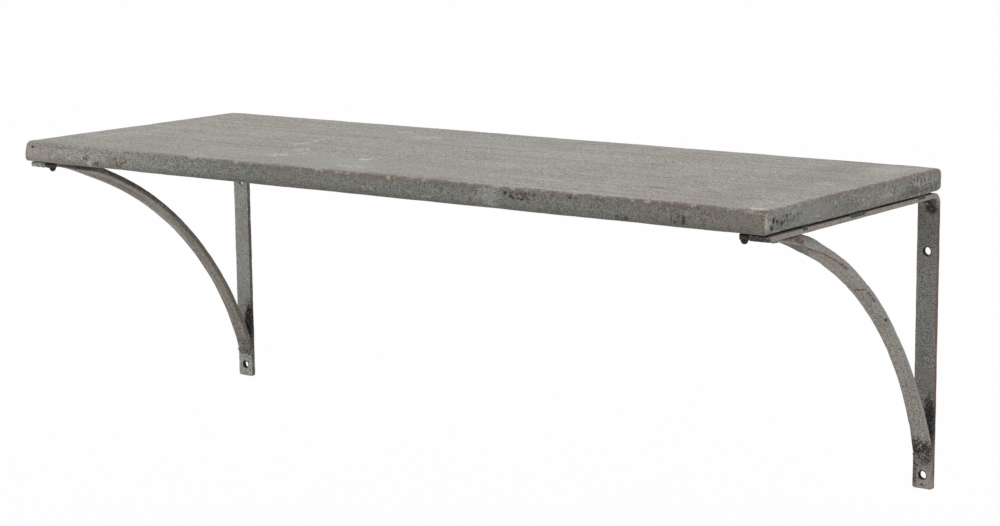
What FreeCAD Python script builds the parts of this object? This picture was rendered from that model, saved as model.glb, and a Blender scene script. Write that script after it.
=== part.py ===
"""Wall shelf: a painted wooden plank on two flat-iron brackets.

Frame, in millimetres: the wall is the plane y = 0 and the shelf stands out from it towards -Y.
X runs along the board, Z is up, and the origin is the middle of the four wall holes.
Each bracket is modelled about its own middle plane and is then placed along X.
"""
import FreeCAD, Part
import math
import os

import Sketcher

SIZES = {
    # board
    "board_length": 750.0,
    "board_depth": 265.0,
    "board_thickness": 18.0,
    "board_arris_radius": 3.0,
    "board_corner_radius": 4.0,
    "board_wall_gap": 0.5,
    # bracket strap: arm and leg, bent from one flat bar
    "bar_width": 18.0,
    "bar_thickness": 4.0,
    "bend_inner_radius": 2.0,
    "bracket_inset": 2.0,
    "arm_front_setback": 5.0,
    "arm_above_hole": 47.0,
    "hole_spacing": 180.0,
    "hole_to_end": 11.0,
    "wall_hole_diameter": 6.5,
    "leg_corner_radius": 3.0,
    "arm_corner_radius": 2.5,
    # arched brace: where its tips lie, and the radius of its under face
    "brace_tip_from_arm_end": 9.0,
    "brace_tip_from_leg_end": 24.0,
    "brace_radius": 312.0,
    "brace_thickness": 5.0,
    "brace_waist_width": 12.0,
    # weld beads at the brace's two tips: past the tip on the strap, and back over the brace
    "weld_toe": 4.0,
    "weld_lap": 6.0,
    "weld_crown_radius": 7.0,
    # spacers that hold the board off the iron, each in a notch of the arm's outer edge
    "spacer_gap": 1.0,
    "spacer_clearance": 0.2,
    "notch_depth": 2.0,
    "notch_width": 6.0,
    "notch_slant": 1.5,
    "front_spacer_from_edge": 55.0,
    "front_spacer_length": 9.0,
    "middle_spacer_length": 25.0,
    "rear_spacer_from_wall": 32.0,
    "rear_spacer_length": 14.0,
    # lugs on the arm's inner edge, and the screws through them
    "lug_width": 10.0,
    "lug_reach": 5.0,
    "rear_lug_from_wall": 60.0,
    "shank_diameter": 4.0,
    "shank_clearance": 0.25,
    "screw_bite": 11.0,
    "screw_tip_length": 3.0,
    "screw_head_diameter": 7.5,
    "screw_head_height": 4.0,
    "slot_width": 1.2,
    "slot_depth": 1.4,
    "pilot_clearance": 0.1,
    "pilot_tip_clearance": 1.0,
}

# Places that several pieces share, worked out from the sizes
PLACES = {
    "arm_top": "hole_spacing / 2 + arm_above_hole",
    "arm_under": "arm_top - bar_thickness",
    "board_under": "arm_top + spacer_gap",
    "leg_end": "-hole_spacing / 2 - hole_to_end",
    "leg_front": "-bar_thickness",
    "board_front": "-board_wall_gap - board_depth",
    "arm_front": "board_front + arm_front_setback",
    "bracket_middle": "board_length / 2 - bracket_inset - bar_width / 2",
    "lug_hole": "bar_width / 2 + lug_reach",
    "front_spacer_y": "board_front + front_spacer_from_edge",
    "middle_spacer_y": "board_front + board_depth / 2",
    "rear_spacer_y": "-rear_spacer_from_wall",
    "tip_on_arm": "arm_front + brace_tip_from_arm_end",
    "tip_on_leg": "leg_end + brace_tip_from_leg_end",
    "brace_reach": "leg_front - tip_on_arm",
    "brace_drop": "arm_under - tip_on_leg",
    "brace_chord": "sqrt(brace_reach ^ 2 + brace_drop ^ 2)",
    "chord_to_centre": "sqrt(brace_radius ^ 2 - brace_chord ^ 2 / 4)",
    "brace_y": "(leg_front + tip_on_arm) / 2 - chord_to_centre * brace_drop / brace_chord",
    "brace_z": "(arm_under + tip_on_leg) / 2 - chord_to_centre * brace_reach / brace_chord",
    "brace_back_radius": "brace_radius + brace_thickness",
    "brace_end_width": "bar_width",
}

# A cutting profile runs this far past the face that it cuts.
CUT_MARGIN = 1.0
# Two places this close are the same.
SAME_PLACE = 0.01

doc = FreeCAD.newDocument("wall_shelf")
sheet = doc.addObject("Spreadsheet::Sheet", "Sizes")
cells = {alias: str(size) for alias, size in SIZES.items()}
cells.update({alias: f"={formula}" for alias, formula in PLACES.items()})
for row, (alias, content) in enumerate(cells.items(), start=1):
    sheet.set(f"A{row}", alias.replace("_", " "))
    sheet.set(f"B{row}", content)
    sheet.setAlias(f"B{row}", alias)
doc.recompute()

LUG_Y = {
    "front": "(Sizes.arm_front + Sizes.lug_width / 2)",
    "rear": "(-Sizes.rear_lug_from_wall)",
}
SPACERS = ("front", "middle", "rear")
SIDES = {"left": -1, "right": 1}
START, END, CENTRE = range(1, 4)
ORIGIN = (-1, START)
# The screw head's dome is turned in three cones, which meet at these angles from its crown.
DOME_ANGLES = (60, 30)


def number(expression):
    """Value of an expression of the sizes."""
    return float(sheet.evalExpression(expression))


def vector(across, up):
    """Point of a sketch from two expressions."""
    return FreeCAD.Vector(number(across), number(up), 0)


def new_body(label):
    body = doc.addObject("PartDesign::Body", label)
    body.Label = label
    return body


def new_sketch(body, role, offset=None):
    """Sketch on one of the body's own origin planes, moved along its normal by an expression."""
    sketch = body.newObject("Sketcher::SketchObject", f"{body.Label}_sketch")
    plane = next(feature for feature in body.Origin.OriginFeatures if feature.Role == role)
    sketch.AttachmentSupport = [(plane, "")]
    sketch.MapMode = "FlatFace"
    if offset:
        sketch.setExpression("AttachmentOffset.Base.z", offset)
    return sketch


def bind(sketch, kind, *references_and_expression):
    """Adds a dimension and ties it to an expression."""
    *references, expression = references_and_expression
    index = sketch.addConstraint(Sketcher.Constraint(kind, *references, number(expression)))
    sketch.setExpression(f"Constraints[{index}]", expression)


def fix_point(sketch, geometry, point, across, up):
    bind(sketch, "DistanceX", *ORIGIN, geometry, point, across)
    bind(sketch, "DistanceY", *ORIGIN, geometry, point, up)


def join(sketch, first, first_point, second, second_point):
    sketch.addConstraint(Sketcher.Constraint("Coincident", first, first_point, second, second_point))


def add_line(sketch, start, end):
    return sketch.addGeometry(Part.LineSegment(vector(*start), vector(*end)))


def add_arc(sketch, centre, start, end):
    """Anticlockwise arc about a centre, first drawn through its start; its ends are joined later."""
    middle, first, last = vector(*centre), vector(*start), vector(*end)
    circle = Part.Circle(middle, FreeCAD.Vector(0, 0, 1), (first - middle).Length)
    angles = [math.atan2(p.y - middle.y, p.x - middle.x) for p in (first, last)]
    return sketch.addGeometry(Part.ArcOfCircle(circle, *angles))


def add_circle(sketch, across, up, diameter):
    circle = Part.Circle(vector(across, up), FreeCAD.Vector(0, 0, 1), number(diameter) / 2)
    geometry = sketch.addGeometry(circle)
    fix_point(sketch, geometry, CENTRE, across, up)
    bind(sketch, "Diameter", geometry, diameter)


def add_polygon(sketch, corners):
    """Closed outline of straight lines, with each corner tied to its two expressions."""
    lines = [add_line(sketch, a, b) for a, b in zip(corners, corners[1:] + corners[:1])]
    for here, after in zip(lines, lines[1:] + lines[:1]):
        join(sketch, here, END, after, START)
    for line, corner in zip(lines, corners):
        fix_point(sketch, line, START, *corner)


def pad(body, sketch, length, midplane=False, reverse=False):
    feature = body.newObject("PartDesign::Pad", f"{body.Label}_pad")
    feature.Profile = sketch
    feature.Midplane = midplane
    feature.Reversed = reverse
    feature.setExpression("Length", length)
    doc.recompute()
    return feature


def pocket(body, sketch, length=None, reverse=False):
    """Cut to a depth, or right through both ways where no length is given; it has to remove metal."""
    before = body.Shape.Volume
    feature = body.newObject("PartDesign::Pocket", f"{body.Label}_pocket")
    feature.Profile = sketch
    feature.Reversed = reverse
    if length:
        feature.setExpression("Length", length)
    else:
        feature.Type = "ThroughAll"
        feature.Midplane = True
    doc.recompute()
    if body.Shape.Volume >= before:
        raise RuntimeError(f"{body.Label}: a cut removed nothing")
    return feature


def fillet(body, radius, chosen):
    """Rounds the edges of the body that the given test picks."""
    base = body.Tip
    names = [f"Edge{i}" for i, edge in enumerate(base.Shape.Edges, start=1) if chosen(edge)]
    feature = body.newObject("PartDesign::Fillet", f"{body.Label}_fillet")
    feature.Base = (base, names)
    feature.setExpression("Radius", radius)
    doc.recompute()
    return feature


def along(edge, axis):
    """True where a straight edge runs along the named axis."""
    box = edge.BoundBox
    lengths = {"X": box.XLength, "Y": box.YLength, "Z": box.ZLength}
    return edge.Length - lengths[axis] < SAME_PLACE


def place_on_bracket(body, side, x="0", y="0", z="0"):
    """Puts a piece, modelled about the bracket's middle plane, on the left or right bracket."""
    body.setExpression("Placement.Base.x", f"{SIDES[side]} * Sizes.bracket_middle + {x}")
    body.setExpression("Placement.Base.y", y)
    body.setExpression("Placement.Base.z", z)


def make_board():
    """Solid plank with rounded arrises and a blind pilot hole over each lug."""
    body = new_body("shelf_board")
    outline = new_sketch(body, "XY_Plane", "Sizes.board_under")
    half = "Sizes.board_length / 2"
    front, back = "Sizes.board_front", "-Sizes.board_wall_gap"
    add_polygon(outline, [(f"-{half}", front), (half, front), (half, back), (f"-{half}", back)])
    pad(body, outline, "Sizes.board_thickness")
    fillet(body, "Sizes.board_corner_radius", lambda edge: along(edge, "Z"))
    fillet(body, "Sizes.board_arris_radius", lambda edge: edge.BoundBox.ZLength < SAME_PLACE)
    pilots = new_sketch(body, "XY_Plane", "Sizes.board_under")
    for sign in SIDES.values():
        for y in LUG_Y.values():
            diameter = "Sizes.shank_diameter + 2 * Sizes.pilot_clearance"
            add_circle(pilots, f"{sign} * (Sizes.bracket_middle - Sizes.lug_hole)", y, diameter)
    pocket(body, pilots, "Sizes.screw_bite + Sizes.pilot_tip_clearance", reverse=True)
    return body


def spacer_outline(name, clearance):
    """Side view of a notch, or of the spacer in it with a clearance: wider at the top than at its floor."""
    centre = f"Sizes.{name}_spacer_y"
    half = f"(Sizes.{name}_spacer_length / 2 - {clearance})"
    floor_half = f"({half} - Sizes.notch_slant)"
    floor = "(Sizes.arm_top - Sizes.notch_depth)"
    top = "Sizes.board_under"
    return [
        (f"{centre} - {floor_half}", floor),
        (f"{centre} + {floor_half}", floor),
        (f"{centre} + {half}", top),
        (f"{centre} - {half}", top),
    ]


def make_strap(side):
    """Arm and leg bent from one flat bar, with two wall holes and three notches for the spacers."""
    body = new_body(f"{side}_bracket_strap")
    middle_z = "(Sizes.arm_top - Sizes.bar_thickness / 2)"
    middle_y = "(-Sizes.bar_thickness / 2)"
    bend = "(Sizes.bend_inner_radius + Sizes.bar_thickness / 2)"
    path = new_sketch(body, "YZ_Plane")
    leg = add_line(path, (middle_y, "Sizes.leg_end"), (middle_y, f"{middle_z} - {bend}"))
    corner = add_arc(
        path,
        (f"{middle_y} - {bend}", f"{middle_z} - {bend}"),
        (middle_y, f"{middle_z} - {bend}"),
        (f"{middle_y} - {bend}", middle_z),
    )
    arm = add_line(path, (f"{middle_y} - {bend}", middle_z), ("Sizes.arm_front", middle_z))
    path.addConstraint(Sketcher.Constraint("Vertical", leg))
    path.addConstraint(Sketcher.Constraint("Horizontal", arm))
    path.addConstraint(Sketcher.Constraint("Tangent", leg, END, corner, START))
    path.addConstraint(Sketcher.Constraint("Tangent", corner, END, arm, START))
    bind(path, "Radius", corner, bend)
    fix_point(path, leg, START, middle_y, "Sizes.leg_end")
    fix_point(path, arm, END, "Sizes.arm_front", middle_z)

    section = new_sketch(body, "XY_Plane", "Sizes.leg_end")
    half = "Sizes.bar_width / 2"
    front, back = "Sizes.leg_front", "0"
    add_polygon(section, [(f"-{half}", front), (half, front), (half, back), (f"-{half}", back)])
    doc.recompute()
    bar = body.newObject("PartDesign::AdditivePipe", f"{body.Label}_bar")
    bar.Profile = section
    bar.Spine = (path, ["Edge1", "Edge2", "Edge3"])
    doc.recompute()

    holes = new_sketch(body, "XZ_Plane")
    for up in ("Sizes.hole_spacing / 2", "-Sizes.hole_spacing / 2"):
        add_circle(holes, "0", up, "Sizes.wall_hole_diameter")
    pocket(body, holes)

    low = number("Sizes.leg_end")
    fillet(body, "Sizes.leg_corner_radius",
           lambda edge: along(edge, "Y") and abs(edge.CenterOfMass.z - low) < SAME_PLACE)
    arm_end = number("Sizes.arm_front")
    fillet(body, "Sizes.arm_corner_radius",
           lambda edge: along(edge, "Z") and abs(edge.CenterOfMass.y - arm_end) < SAME_PLACE)

    notches = new_sketch(body, "YZ_Plane", f"{SIDES[side]} * Sizes.bar_width / 2")
    for name in SPACERS:
        add_polygon(notches, spacer_outline(name, "0"))
    pocket(body, notches, "Sizes.notch_width", reverse=SIDES[side] < 0)
    place_on_bracket(body, side)
    return body


def make_spacer(side, name):
    """Spacer that fills a notch and stands proud of the arm, so that the board rests on it."""
    body = new_body(f"{side}_{name}_spacer")
    outline = new_sketch(body, "YZ_Plane", f"{SIDES[side]} * Sizes.bar_width / 2")
    add_polygon(outline, spacer_outline(name, "Sizes.spacer_clearance"))
    pad(body, outline, "Sizes.notch_width - Sizes.spacer_clearance", reverse=SIDES[side] > 0)
    place_on_bracket(body, side)
    return body


def make_brace(side):
    """Arched flat bar, cut to seat on the arm and the leg, and drawn in between its two ends."""
    body = new_body(f"{side}_brace")
    profile = new_sketch(body, "YZ_Plane")
    centre = ("Sizes.brace_y", "Sizes.brace_z")
    back_on_arm = "Sizes.brace_y + sqrt(Sizes.brace_back_radius^2 - (Sizes.arm_under - Sizes.brace_z)^2)"
    back_on_leg = "Sizes.brace_z + sqrt(Sizes.brace_back_radius^2 - (Sizes.leg_front - Sizes.brace_y)^2)"
    arm_tip, arm_back = ("Sizes.tip_on_arm", "Sizes.arm_under"), (back_on_arm, "Sizes.arm_under")
    leg_tip, leg_back = ("Sizes.leg_front", "Sizes.tip_on_leg"), ("Sizes.leg_front", back_on_leg)
    outer = add_arc(profile, centre, leg_back, arm_back)
    inner = add_arc(profile, centre, leg_tip, arm_tip)
    arm_seat = add_line(profile, arm_tip, arm_back)
    leg_seat = add_line(profile, leg_back, leg_tip)
    join(profile, inner, END, arm_seat, START)
    join(profile, arm_seat, END, outer, END)
    join(profile, outer, START, leg_seat, START)
    join(profile, leg_seat, END, inner, START)
    join(profile, outer, CENTRE, inner, CENTRE)
    fix_point(profile, outer, CENTRE, *centre)
    bind(profile, "Radius", outer, "Sizes.brace_back_radius")
    bind(profile, "Radius", inner, "Sizes.brace_radius")
    profile.addConstraint(Sketcher.Constraint("Horizontal", arm_seat))
    profile.addConstraint(Sketcher.Constraint("Vertical", leg_seat))
    bind(profile, "DistanceY", *ORIGIN, arm_seat, START, "Sizes.arm_under")
    bind(profile, "DistanceX", *ORIGIN, leg_seat, START, "Sizes.leg_front")
    pad(body, profile, "Sizes.brace_end_width", midplane=True)

    waist = new_sketch(body, "XZ_Plane")
    rise = "((Sizes.brace_end_width - Sizes.brace_waist_width) / 2)"
    radius = f"(Sizes.brace_drop^2 / (8 * {rise}) + {rise} / 2)"
    middle = "((Sizes.arm_under + Sizes.tip_on_leg) / 2)"
    for sign in (-1, 1):
        edge = f"{sign} * Sizes.brace_end_width / 2"
        outside = f"{sign} * (Sizes.brace_end_width / 2 + {CUT_MARGIN})"
        bow_centre = (f"{sign} * (Sizes.brace_waist_width / 2 + {radius})", middle)
        top, bottom = (edge, "Sizes.arm_under"), (edge, "Sizes.tip_on_leg")
        if sign > 0:
            bow = add_arc(waist, bow_centre, top, bottom)
            bow_top, bow_bottom = START, END
        else:
            bow = add_arc(waist, bow_centre, bottom, top)
            bow_top, bow_bottom = END, START
        upper = add_line(waist, top, (outside, "Sizes.arm_under"))
        side_line = add_line(waist, (outside, "Sizes.arm_under"), (outside, "Sizes.tip_on_leg"))
        lower = add_line(waist, (outside, "Sizes.tip_on_leg"), bottom)
        join(waist, bow, bow_top, upper, START)
        join(waist, upper, END, side_line, START)
        join(waist, side_line, END, lower, START)
        join(waist, lower, END, bow, bow_bottom)
        fix_point(waist, upper, START, *top)
        fix_point(waist, side_line, START, outside, "Sizes.arm_under")
        fix_point(waist, lower, START, outside, "Sizes.tip_on_leg")
        fix_point(waist, lower, END, *bottom)
        bind(waist, "Radius", bow, radius)
    pocket(body, waist)
    place_on_bracket(body, side)
    return body


def make_weld(side, end):
    """Bead laid in the angle under the brace's tip, against the arm or against the leg."""
    body = new_body(f"{side}_{end}_weld")
    profile = new_sketch(body, "YZ_Plane")
    centre = ("Sizes.brace_y", "Sizes.brace_z")
    if end == "lower":
        tip = ("Sizes.leg_front", "Sizes.tip_on_leg")
        toe = ("Sizes.leg_front", "Sizes.tip_on_leg - Sizes.weld_toe")
        head_z = "(Sizes.tip_on_leg + Sizes.weld_lap)"
        head = (f"Sizes.brace_y + sqrt(Sizes.brace_radius^2 - ({head_z} - Sizes.brace_z)^2)", head_z)
    else:
        tip = ("Sizes.tip_on_arm", "Sizes.arm_under")
        toe = ("Sizes.tip_on_arm - Sizes.weld_toe", "Sizes.arm_under")
        head_y = "(Sizes.tip_on_arm + Sizes.weld_lap)"
        head = (head_y, f"Sizes.brace_z + sqrt(Sizes.brace_radius^2 - ({head_y} - Sizes.brace_y)^2)")
    seat = add_line(profile, tip, toe)
    half = f"(sqrt(({toe[0]} - ({head[0]}))^2 + ({toe[1]} - ({head[1]}))^2) / 2)"
    lift = f"sqrt(Sizes.weld_crown_radius^2 - {half}^2)"
    towards = -1 if end == "lower" else 1
    crown_centre = (
        f"({toe[0]} + {head[0]}) / 2 + {towards} * ({toe[1]} - ({head[1]})) / (2 * {half}) * {lift}",
        f"({toe[1]} + {head[1]}) / 2 - {towards} * ({toe[0]} - ({head[0]})) / (2 * {half}) * {lift}",
    )
    if end == "lower":
        under = add_arc(profile, centre, tip, head)
        crown = add_arc(profile, crown_centre, head, toe)
        join(profile, under, START, seat, START)
        join(profile, under, END, crown, START)
        join(profile, crown, END, seat, END)
        bind(profile, "DistanceY", *ORIGIN, under, END, head_z)
        bind(profile, "DistanceX", *ORIGIN, seat, START, "Sizes.leg_front")
        profile.addConstraint(Sketcher.Constraint("Vertical", seat))
    else:
        under = add_arc(profile, centre, head, tip)
        crown = add_arc(profile, crown_centre, toe, head)
        join(profile, under, END, seat, START)
        join(profile, under, START, crown, END)
        join(profile, crown, START, seat, END)
        bind(profile, "DistanceX", *ORIGIN, under, START, head_y)
        bind(profile, "DistanceY", *ORIGIN, seat, START, "Sizes.arm_under")
        profile.addConstraint(Sketcher.Constraint("Horizontal", seat))
    fix_point(profile, under, CENTRE, *centre)
    bind(profile, "Radius", under, "Sizes.brace_radius")
    bind(profile, "Distance", seat, "Sizes.weld_toe")
    bind(profile, "Radius", crown, "Sizes.weld_crown_radius")
    pad(body, profile, "Sizes.brace_end_width", midplane=True)
    place_on_bracket(body, side)
    return body


def make_lug(side, name):
    """Round-ended tab on the arm's inner edge, drilled for the screw that holds the board."""
    body = new_body(f"{side}_{name}_lug")
    inward = -SIDES[side]
    outline = new_sketch(body, "XY_Plane", "Sizes.arm_under")
    edge_x = f"{inward} * Sizes.bar_width / 2"
    hole_x = f"{inward} * Sizes.lug_hole"
    near, far = f"{LUG_Y[name]} - Sizes.lug_width / 2", f"{LUG_Y[name]} + Sizes.lug_width / 2"
    near_side = add_line(outline, (edge_x, near), (hole_x, near))
    far_side = add_line(outline, (hole_x, far), (edge_x, far))
    root = add_line(outline, (edge_x, far), (edge_x, near))
    ends = [(hole_x, near), (hole_x, far)]
    if inward < 0:
        ends.reverse()
    tip = add_arc(outline, (hole_x, LUG_Y[name]), *ends)
    near_end, far_end = (END, START) if inward < 0 else (START, END)
    join(outline, near_side, END, tip, near_end)
    join(outline, tip, far_end, far_side, START)
    join(outline, far_side, END, root, START)
    join(outline, root, END, near_side, START)
    fix_point(outline, near_side, START, edge_x, near)
    fix_point(outline, near_side, END, hole_x, near)
    fix_point(outline, far_side, START, hole_x, far)
    fix_point(outline, far_side, END, edge_x, far)
    bind(outline, "DistanceX", *ORIGIN, tip, CENTRE, hole_x)
    add_circle(outline, hole_x, LUG_Y[name], "Sizes.shank_diameter + 2 * Sizes.shank_clearance")
    pad(body, outline, "Sizes.bar_thickness")
    place_on_bracket(body, side)
    return body


def make_screw(side, name):
    """Slotted round-head wood screw, seated under the lug and driven up into the board."""
    body = new_body(f"{side}_{name}_screw")
    profile = new_sketch(body, "XZ_Plane")
    length = "(Sizes.bar_thickness + Sizes.spacer_gap + Sizes.screw_bite)"
    shank, head = "Sizes.shank_diameter / 2", "Sizes.screw_head_diameter / 2"
    crown = "-Sizes.screw_head_height"
    shoulder = f"{length} - Sizes.screw_tip_length"
    points = [("0", crown), ("0", length), (shank, shoulder), (shank, "0"), (head, "0")]
    dome = [(f"{head} * sin({angle})", f"{crown} * cos({angle})") for angle in DOME_ANGLES]
    add_polygon(profile, points + dome)
    turned = body.newObject("PartDesign::Revolution", f"{body.Label}_turned")
    turned.Profile = profile
    turned.ReferenceAxis = (profile, ["V_Axis"])
    turned.Angle = 360
    doc.recompute()
    slot = new_sketch(body, "XY_Plane", crown)
    half, reach = "Sizes.slot_width / 2", f"({head} + {CUT_MARGIN})"
    add_polygon(slot, [(f"-{reach}", f"-{half}"), (reach, f"-{half}"), (reach, half), (f"-{reach}", half)])
    pocket(body, slot, "Sizes.slot_depth", reverse=True)
    place_on_bracket(body, side, f"{-SIDES[side]} * Sizes.lug_hole", LUG_Y[name], "Sizes.arm_under")
    return body


pieces = [make_board()]
for bracket in SIDES:
    pieces.append(make_strap(bracket))
    pieces.append(make_brace(bracket))
    for weld_end in ("upper", "lower"):
        pieces.append(make_weld(bracket, weld_end))
    for fixing in LUG_Y:
        pieces.append(make_lug(bracket, fixing))
        pieces.append(make_screw(bracket, fixing))
    for place in SPACERS:
        pieces.append(make_spacer(bracket, place))

doc.recompute()
failed = [item.Label for item in doc.Objects if {"Invalid", "Error"} & set(item.State)]
if failed:
    raise RuntimeError(f"failed objects: {failed}")
for piece in pieces:
    if piece.Shape.isNull() or not piece.Shape.isValid():
        raise RuntimeError(f"{piece.Label} has no valid solid")
    if len(piece.Shape.Solids) != 1:
        raise RuntimeError(f"{piece.Label} is not one solid")

os.makedirs("parts", exist_ok=True)
for piece in pieces:
    piece.Shape.exportStep(f"parts/{piece.Label}.step")
    box = piece.Shape.BoundBox
    print(f"{piece.Label}: {piece.Shape.Volume:.0f} mm3, x {box.XMin:.1f} to {box.XMax:.1f}, "
          f"y {box.YMin:.1f} to {box.YMax:.1f}, z {box.ZMin:.1f} to {box.ZMax:.1f}")
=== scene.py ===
# %% [markdown]
# # A painted wall shelf on two iron brackets
# The real shelf is a softwood plank, painted grey and rubbed through to brown along its arrises.
# It lies on two brackets of flat iron bar, each with an arched brace welded into the angle.
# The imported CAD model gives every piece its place, so it is loaded first and used as a frame:
# each step below makes the finished piece that stands where one of its nodes is.

# %% Load the frame
import math
from types import SimpleNamespace

import bpy
import numpy as np
from mathutils import Matrix, Vector, noise


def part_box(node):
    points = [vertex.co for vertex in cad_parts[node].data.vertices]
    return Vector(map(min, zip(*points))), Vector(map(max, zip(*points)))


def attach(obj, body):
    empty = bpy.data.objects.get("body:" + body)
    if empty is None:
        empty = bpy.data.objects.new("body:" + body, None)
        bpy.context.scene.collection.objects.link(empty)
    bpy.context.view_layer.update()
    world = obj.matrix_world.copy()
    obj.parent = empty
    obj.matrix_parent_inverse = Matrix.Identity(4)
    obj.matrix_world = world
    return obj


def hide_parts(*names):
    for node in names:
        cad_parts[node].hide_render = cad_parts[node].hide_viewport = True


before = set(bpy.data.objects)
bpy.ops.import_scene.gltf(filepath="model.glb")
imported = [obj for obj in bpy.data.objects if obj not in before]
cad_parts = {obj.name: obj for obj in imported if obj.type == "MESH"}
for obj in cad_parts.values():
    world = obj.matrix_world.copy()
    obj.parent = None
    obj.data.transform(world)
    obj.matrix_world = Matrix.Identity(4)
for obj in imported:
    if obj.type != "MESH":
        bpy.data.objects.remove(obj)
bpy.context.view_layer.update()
MM = 0.001
SIDES = ("left", "right")

# %% [markdown]
# ## Camera
# The photograph was taken from the right, a little above the board, with a long lens.
# A camera can be aimed by eye, but here its place and turn were worked out from the plank's edges,
# so they are written as three axes, which become the columns of the camera's matrix.

# %% Camera
CAMERA_PLACE = (1.1942, -1.6607, 0.4039)
CAMERA_RIGHT = (0.80005, 0.599844, -0.01039)
CAMERA_UP = (-0.095419, 0.144326, 0.984919)
CAMERA_BACK = (0.592297, -0.786993, 0.172705)
SENSOR_WIDTH = 36.0
FOCAL_LENGTH = 85.42


def link(thing):
    bpy.context.scene.collection.objects.link(thing)
    return thing


lens = bpy.data.cameras.new("camera")
lens.sensor_fit = "HORIZONTAL"
lens.sensor_width = SENSOR_WIDTH
lens.lens = FOCAL_LENGTH
camera = link(bpy.data.objects.new("camera", lens))
turn = Matrix((CAMERA_RIGHT, CAMERA_UP, CAMERA_BACK)).transposed()
camera.matrix_world = Matrix.LocRotScale(Vector(CAMERA_PLACE), turn.to_quaternion(), None)
bpy.context.scene.camera = camera
print("camera at", CAMERA_PLACE)

# %% [markdown]
# ## Helpers for node trees
# Geometry Nodes and shaders are both trees of nodes, and get long when each socket is set on its own line.
# One short function adds a node and fills its sockets: a value that is a socket is linked, any other is set.
# Most nodes are wanted only for their first output, so two more functions give just that, and they find
# the tree from the sockets they are given.

# %% Node helpers
def put(tree, kind, inputs=None, **settings):
    """Adds a node with its settings, and fills its sockets by name or by number."""
    node = tree.nodes.new(kind)
    for name, value in settings.items():
        setattr(node, name, value)
    for key, value in (inputs or {}).items():
        if isinstance(key, int):
            socket = node.inputs[key]
        else:
            socket = next(s for s in node.inputs if s.name == key and s.enabled)
        if isinstance(value, bpy.types.NodeSocket):
            tree.links.new(value, socket)
        else:
            socket.default_value = value
    return node


def tree_of(values):
    """The tree of the first socket among the values: a socket knows the tree it lies in."""
    return next(value.id_data for value in values if isinstance(value, bpy.types.NodeSocket))


def shade(kind, inputs, **settings):
    """First output of a new node of the kinds that shaders have, such as Math, which geometry uses too."""
    return put(tree_of(inputs.values()), "ShaderNode" + kind, inputs, **settings).outputs[0]


def geo(kind, inputs, **settings):
    """First output of a new node of the kinds that only Geometry Nodes have."""
    return put(tree_of(inputs.values()), "GeometryNode" + kind, inputs, **settings).outputs[0]


def maths(operation, *values):
    return shade("Math", dict(enumerate(values)), operation=operation)


def times(*factors):
    product = factors[0]
    for factor in factors[1:]:
        product = maths("MULTIPLY", product, factor)
    return product


def linear(red, green, blue):
    """Colour for a shader from the 0 to 255 numbers of a picture."""
    shares = [value / 255 for value in (red, green, blue)]
    return [s / 12.92 if s <= 0.04045 else ((s + 0.055) / 1.055) ** 2.4 for s in shares] + [1.0]


print("white is", linear(255, 255, 255))

# %% [markdown]
# ## Helpers for finishes
# All finishes read Object coordinates, in metres, so a pattern has the same size on every piece.
# Noise at several scales gives clouds, brush streaks and specks, and a smooth step turns a noise into a mask.
# Paint is built up in coats, one over another, each let through by its masks.

# %% Finish helpers
MATT = 0.2
RAGGED = 2.2


def new_finish(name):
    material = bpy.data.materials.new(name)
    material.use_nodes = True
    material.node_tree.nodes.clear()
    return material, material.node_tree


def object_place(tree):
    return put(tree, "ShaderNodeTexCoord").outputs["Object"]


def split(vector):
    return put(vector.id_data, "ShaderNodeSeparateXYZ", {0: vector}).outputs


def facing(tree):
    """The three parts of the surface's direction."""
    return split(put(tree, "ShaderNodeNewGeometry").outputs["Normal"])


def painted_attribute(tree, name):
    return put(tree, "ShaderNodeAttribute", attribute_name=name).outputs["Fac"]


def grain(place, scale, detail, rough, stretch=(1, 1, 1), shift=(0, 0, 0)):
    """Noise about 0.5; a stretch draws it out into streaks, and a shift keeps two noises apart."""
    if stretch != (1, 1, 1) or any(shift):
        place = shade("Mapping", {"Vector": place, "Scale": stretch, "Location": shift})
    return shade("TexNoise", {"Vector": place, "Scale": scale, "Detail": detail, "Roughness": rough})


def mixed(*terms):
    """Sum of values, each times its share."""
    total = times(*terms[0])
    for term in terms[1:]:
        total = maths("ADD", total, times(*term))
    return total


def step(value, low, high):
    """0 below low, 1 above high, and smooth between; low may be the larger of the two."""
    inputs = {0: value, 1: min(low, high), 2: max(low, high)}
    if low > high:
        inputs.update({3: 1.0, 4: 0.0})
    return shade("MapRange", inputs, interpolation_type="SMOOTHSTEP")


def coat(under, over, *masks):
    """One colour over another, as strongly as the product of the masks; a tuple is a colour from 0 to 255."""
    inputs = {"Factor": times(*masks)}
    for name, colour in (("A", under), ("B", over)):
        inputs[name] = linear(*colour) if isinstance(colour, tuple) else colour
    return put(tree_of(masks), "ShaderNodeMix", inputs, data_type="RGBA").outputs[2]


def near_spot(place, centre, reach, rim):
    """1 inside an ellipsoid of the given half sizes, in mm, with an uneven rim that a noise gives."""
    offset = shade("VectorMath", {0: place, 1: [c * MM for c in centre]}, operation="SUBTRACT")
    scaled = shade("VectorMath", {0: offset, 1: [r * MM for r in reach]}, operation="DIVIDE")
    distance = put(place.id_data, "ShaderNodeVectorMath", {0: scaled}, operation="LENGTH").outputs["Value"]
    uneven = times(maths("SUBTRACT", rim, 0.5), RAGGED)
    return step(maths("ADD", distance, uneven), 1.0, 0.7)


def close_finish(colour, roughness, height, depth):
    """Ends a finish: its colour, roughness and relief, with its depth in mm, go into one shader."""
    relief = shade("Bump", {"Height": height, "Distance": depth * MM, "Strength": 1.0})
    inputs = {"Base Color": colour, "Roughness": roughness, "Normal": relief, "Specular IOR Level": MATT}
    put(colour.id_data, "ShaderNodeOutputMaterial", {"Surface": shade("BsdfPrincipled", inputs)})


print("finish helpers are ready")

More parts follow.
